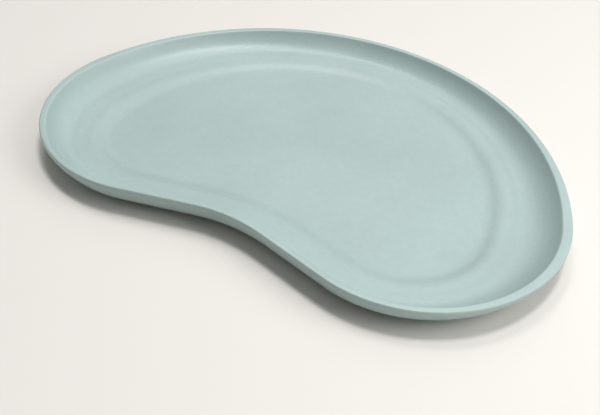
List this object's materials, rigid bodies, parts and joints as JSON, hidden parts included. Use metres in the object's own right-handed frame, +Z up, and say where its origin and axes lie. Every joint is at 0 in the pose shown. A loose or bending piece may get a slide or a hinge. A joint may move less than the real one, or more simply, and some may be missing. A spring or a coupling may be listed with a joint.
{
  "type": "kidney dish",
  "caption": "Shallow kidney-shaped dish with a rounded rim, a curved wall and a flat sunken floor.",
  "frame": {"origin": "centre of the bounding box in plan, on the plane the dish stands on", "axes": "+X along the dish's length, +Y towards the convex back, -Y towards the notch, +Z up out of the dish"},
  "size_m": [0.25, 0.168, 0.014],
  "materials": {
    "dish_plastic": "satin moulded polypropylene, fine grain"
  },
  "bodies": {
    "root": {"dish_body": "dish_plastic"}
  },
  "joints": []
}
